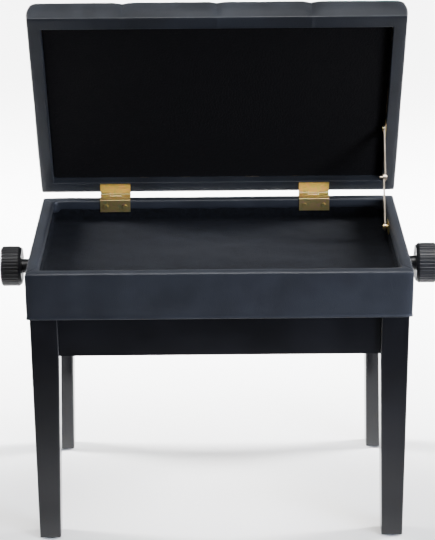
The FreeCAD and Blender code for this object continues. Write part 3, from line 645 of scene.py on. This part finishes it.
boxSkin = {
    "low": Vector(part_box("box_cover")[0]),
    "high": Vector(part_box("box_cover")[1]),
    "wall": 0.0174,
    "skin": 0.0009,
    "round": 0.0036,
    "roundSteps": 6,
    "corner": 0.0036,
    "cornerCuts": (0.0008, 0.0018, 0.0028, 0.004, 0.0055, 0.0075),
    "pleat": 0.0015,        # height of the fold across each corner
    "pleatWidth": 0.0028,
    "valleyAway": 0.0055,   # and how far the hollows lie on both sides of it
    "valleyWidth": 0.003,
    "valleyShare": 0.45,
    "bunch": 0.0013,        # gathers where the skin turns down inside
    "unevenness": 0.0005,
    "turnDown": 0.013,
    "hem": 0.012,
    "step": 0.010,
}


def ringProfile():
    # distance in from the outer face, and height, from the hem under the wall to the edge inside the rim
    low, high = boxSkin["low"].z, boxSkin["high"].z
    bend = boxSkin["round"]
    wall = boxSkin["wall"]
    turns = [math.pi / 2 * step / boxSkin["roundSteps"] for step in range(1, boxSkin["roundSteps"])]
    points = [(boxSkin["hem"], low + 0.0002), (0.0030, low - 0.0002), (0.0002, low + 0.0002)]
    points += [(-0.0008, low + 0.0016), (-0.0005, low + 0.0030), (0.0005, low + 0.0042), (0.0002, low + 0.010)]
    points += [(0.0, low + 0.010 + (high - low - 0.018) * part) for part in (0.2, 0.4, 0.6, 0.8, 1.0)]
    points += [(bend - bend * math.cos(turn), high - bend + bend * math.sin(turn)) for turn in turns]
    points += [(bend, high + 0.0005), (wall / 2, high + 0.0012), (wall - bend, high + 0.0005)]
    points += [(wall - bend + bend * math.sin(turn), high - bend + bend * math.cos(turn)) for turn in turns]
    points += [(wall, high - 0.0075), (wall, high - 0.011), (wall - 0.0002, high - boxSkin["turnDown"])]
    points += [(wall - 0.0009, high - 0.0145), (wall - 0.0012, high - 0.019)]
    return points


def makeBoxSkin():
    mesh = bmesh.new()
    low, high = boxSkin["low"], boxSkin["high"]
    half = (high - low) / 2
    middle = (high + low) / 2
    boxBetween(mesh, low, high)
    for axis in (0, 1):
        cutAcross(mesh, axis, spaced(low[axis], high[axis], boxSkin["step"]))
        for cut in boxSkin["cornerCuts"]:
            cutAcross(mesh, axis, [low[axis] + cut, high[axis] - cut])
    flat = [face for face in mesh.faces if abs(face.normal.z) > 0.5]
    bmesh.ops.delete(mesh, geom=flat, context="FACES")
    upper = [vert for vert in mesh.verts if vert.co.z > middle.z]
    bmesh.ops.delete(mesh, geom=upper, context="VERTS")
    loop = mesh.edges[:]
    verts = set(mesh.verts)
    for number, (off, height) in enumerate(ringProfile()):
        if number:
            grown = bmesh.ops.extrude_edge_only(mesh, edges=loop)["geom"]
            loop = [item for item in grown if isinstance(item, bmesh.types.BMEdge)]
            verts = {vert for edge in loop for vert in edge.verts}
        for vert in verts:
            base = vert.co - middle
            toFace = max(abs(base.x) / half.x, abs(base.y) / half.y)
            vert.co.x = middle.x + base.x / toFace * (half.x - off) / half.x
            vert.co.y = middle.y + base.y / toFace * (half.y - off) / half.y
            vert.co.z = height
    foldCorners(mesh, middle, half)
    piece = finishPiece("boxSkin", mesh, boxLeather)
    addWall(piece, boxSkin["skin"])
    addSubdivision(piece)
    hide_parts("box_cover")
    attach(piece, "seat_box")


def foldCorners(mesh, middle, half):
    wall = boxSkin["wall"]
    for vert in mesh.verts:
        place = vert.co - middle
        inX, inY = half.x - abs(place.x), half.y - abs(place.y)
        outer = min(inX, inY)
        roundCorner(vert, place, middle, half, inX, inY)
        onTop = ramp(vert.co.z, boxSkin["high"].z - 0.006, boxSkin["high"].z - 0.001)
        fromFold = abs(inX - inY)
        folded = ramp(inX + inY, 0.003, 0.012) * (1.0 if max(inX, inY) < 0.05 else 0.0)
        ridge = max(0.0, 1.0 - fromFold / boxSkin["pleatWidth"])
        valley = max(0.0, 1.0 - abs(fromFold - boxSkin["valleyAway"]) / boxSkin["valleyWidth"])
        vert.co.z += boxSkin["pleat"] * (ridge - boxSkin["valleyShare"] * valley) * folded * onTop
        inner = ramp(outer, wall * 0.6, wall)
        nearCorner = 1 - ramp(max(inX, inY), wall + 0.004, wall + 0.045)
        bunch = boxSkin["bunch"] * (ripple(vert.co, 0.011, 2.0) - 0.3) * inner * (0.35 + nearCorner)
        if inX < inY:
            vert.co.x += math.copysign(1.0, place.x) * bunch
        else:
            vert.co.y += math.copysign(1.0, place.y) * bunch
        vert.co.z += boxSkin["unevenness"] * ripple(vert.co, 0.05, 5.0) * onTop


def roundCorner(vert, place, middle, half, inX, inY):
    radius = boxSkin["corner"]
    reach = radius - min(inX, inY)
    if max(inX, inY) >= radius:
        return
    core = Vector((half.x - radius, half.y - radius))
    away = Vector((abs(place.x), abs(place.y))) - core
    if away.length > reach > 0:
        away = away.normalized() * reach
        vert.co.x = middle.x + math.copysign(core.x + away.x, place.x)
        vert.co.y = middle.y + math.copysign(core.y + away.y, place.y)


# flocked card inside the box

lining = {
    "inset": 0.0003,
    "card": 0.0007,
    "step": 0.009,
    "rise": 0.006,
    "lump": 0.0011,
    "fineLump": 0.0006,
    "ragged": 0.0028,       # how uneven its top edge is, in long waves and short
    "fineRagged": 0.0012,
}


def makeLining():
    low, high = Vector(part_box("box_lining")[0]), Vector(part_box("box_lining")[1])
    mesh = bmesh.new()
    inset = Vector((lining["inset"], lining["inset"], 0.0))
    boxBetween(mesh, low + inset, high - inset)
    cutAcross(mesh, 0, spaced(low.x, high.x, lining["step"]))
    cutAcross(mesh, 1, spaced(low.y, high.y, lining["step"]))
    cutAcross(mesh, 2, spaced(low.z, high.z, lining["rise"]))
    top = [face for face in mesh.faces if face.normal.z > 0.5]
    bmesh.ops.delete(mesh, geom=top, context="FACES")
    bmesh.ops.reverse_faces(mesh, faces=mesh.faces)
    middle = (low + high) / 2
    for vert in mesh.verts:
        place = vert.co - middle
        lump = lining["lump"] * (0.6 + ripple(vert.co, 0.030, 9.0))
        lump += lining["fineLump"] * (0.5 + ripple(vert.co, 0.012, 2.5))
        if vert.co.z < low.z + 1e-5:
            vert.co.z += 0.0004 + lump
        elif abs(place.x) > (high.x - low.x) / 2 - 0.0006:
            vert.co.x -= math.copysign(lump, place.x)
        else:
            vert.co.y -= math.copysign(lump, place.y)
        if vert.co.z > high.z - 1e-5:
            waves = lining["ragged"] * ripple(vert.co, 0.024, 4.0)
            waves += lining["fineRagged"] * ripple(vert.co, 0.009, 8.0)
            vert.co.z += waves - 0.0006
    piece = addPiece("flockedLining", mesh, flocked)
    addWall(piece, lining["card"])
    addSubdivision(piece)
    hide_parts("box_lining")
    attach(piece, "seat_box")


# sheet stapled inside the lid

lidSheet = {
    "gap": 0.0004,
    "top": 0.0002,          # below the recess's ceiling
    "thickness": 0.001,
    "step": 0.008,
    "belly": 0.0005,
    "waves": 0.0006,
}


def makeLidSheet():
    half = seat["length"] / 2 - seat["frameWidth"] - lidSheet["gap"]
    low = seatFront + seat["frameWidth"] + lidSheet["gap"]
    high = seatRear - seat["frameWidth"] - lidSheet["gap"]
    top = seatUnder + seat["recessDepth"] - lidSheet["top"]
    mesh = bmesh.new()
    boxBetween(mesh, (-half, low, top - lidSheet["thickness"]), (half, high, top))
    cutAcross(mesh, 0, spaced(-half, half, lidSheet["step"]))
    cutAcross(mesh, 1, spaced(low, high, lidSheet["step"]))
    for vert in mesh.verts:
        if vert.co.z < top - lidSheet["thickness"] / 2:
            edge = min(half - abs(vert.co.x), vert.co.y - low, high - vert.co.y)
            belly = ramp(edge, 0.0, 0.02)
            stapled = 1 - ramp(edge, 0.0, 0.004)
            vert.co.z -= belly * (lidSheet["belly"] + lidSheet["waves"] * ripple(vert.co, 0.045, 1.0))
            vert.co.z += lidSheet["waves"] * stapled * (0.5 + ripple(vert.co, 0.012, 6.0))
    piece = finishPiece("lidSheet", mesh, felted)
    piece.data.transform(opening)
    addSubdivision(piece)
    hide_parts("lid_lining")
    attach(piece, "lid")


print("seat")
makeSeat()
makeButtons()
print("box skin and linings")
makeBoxSkin()
makeLining()
makeLidSheet()


# floor, light and camera

studio = {
    "floorSize": 30.0,
    "floorColour": "#f4f4f4",
    "worldColour": "#ffffff",
    "worldStrength": 0.05,
}
lights = [
    # name, place, target, size, power, spread in degrees, colour
    ("background", (0.0, 3.1, 3.0), (0.0, 3.1, 0.0), 4.0, 420.0, 40, "#ffffff"),
    ("sideLeft", (-2.6, 0.95, 1.5), (0.0, 0.85, 0.0), 1.5, 75.0, 34, "#ffffff"),
    ("sideRight", (2.6, 0.95, 1.5), (0.0, 0.85, 0.0), 1.5, 75.0, 34, "#ffffff"),
    ("overhead", (0.2, -0.6, 2.4), (0.0, 0.1, 0.4), 1.0, 7.0, 50, "#ffffff"),
    ("right", (1.5, -1.3, 0.8), (0.0, -0.1, 0.42), 0.8, 9.0, 50, "#dfe8ff"),
]
lens = {
    "place": Vector((-0.0072, -2.6033, 1.4105)),
    "down": 21.87,
    "turn": 0.11,
    "roll": -0.45,
    "length": 121.2,
}


def makeFloor():
    mesh = bmesh.new()
    bmesh.ops.create_grid(mesh, x_segments=1, y_segments=1, size=studio["floorSize"] / 2)
    material, tree, shader, place = startMaterial("paintedFloor", studio["floorColour"], 0.55)
    mottle = addNode(tree, "ShaderNodeTexNoise", {"Scale": 3.0, "Detail": 4.0}, {"Vector": place})
    tree.links.new(spread(tree, mottle.outputs["Fac"], 0.5, 0.6), shader.inputs["Roughness"])
    finishPiece("floor", mesh, material, smooth=False)


def makeLights():
    for name, place, target, size, power, spreadAngle, colour in lights:
        data = bpy.data.lights.new(name, "AREA")
        data.size = size
        data.energy = power
        data.spread = math.radians(spreadAngle)
        data.color = toLinear(colour)[:3]
        light = bpy.data.objects.new(name, data)
        light.location = place
        light.rotation_euler = (Vector(target) - Vector(place)).to_track_quat("-Z", "Y").to_euler()
        bpy.context.scene.collection.objects.link(light)
    world = bpy.data.worlds.new("studio")
    world.use_nodes = True
    background = world.node_tree.nodes["Background"]
    background.inputs["Color"].default_value = toLinear(studio["worldColour"])
    background.inputs["Strength"].default_value = studio["worldStrength"]
    bpy.context.scene.world = world


def makeCamera():
    data = bpy.data.cameras.new("camera")
    data.lens = lens["length"]
    data.sensor_width = 36.0
    camera = bpy.data.objects.new("camera", data)
    turn = Matrix.Rotation(math.radians(-lens["turn"]), 4, "Z")
    tilt = Matrix.Rotation(math.radians(90 - lens["down"]), 4, "X")
    roll = Matrix.Rotation(math.radians(lens["roll"]), 4, "Z")
    camera.matrix_world = Matrix.Translation(lens["place"]) @ turn @ tilt @ roll
    bpy.context.scene.collection.objects.link(camera)
    bpy.context.scene.camera = camera


print("studio")
makeFloor()
makeLights()
makeCamera()
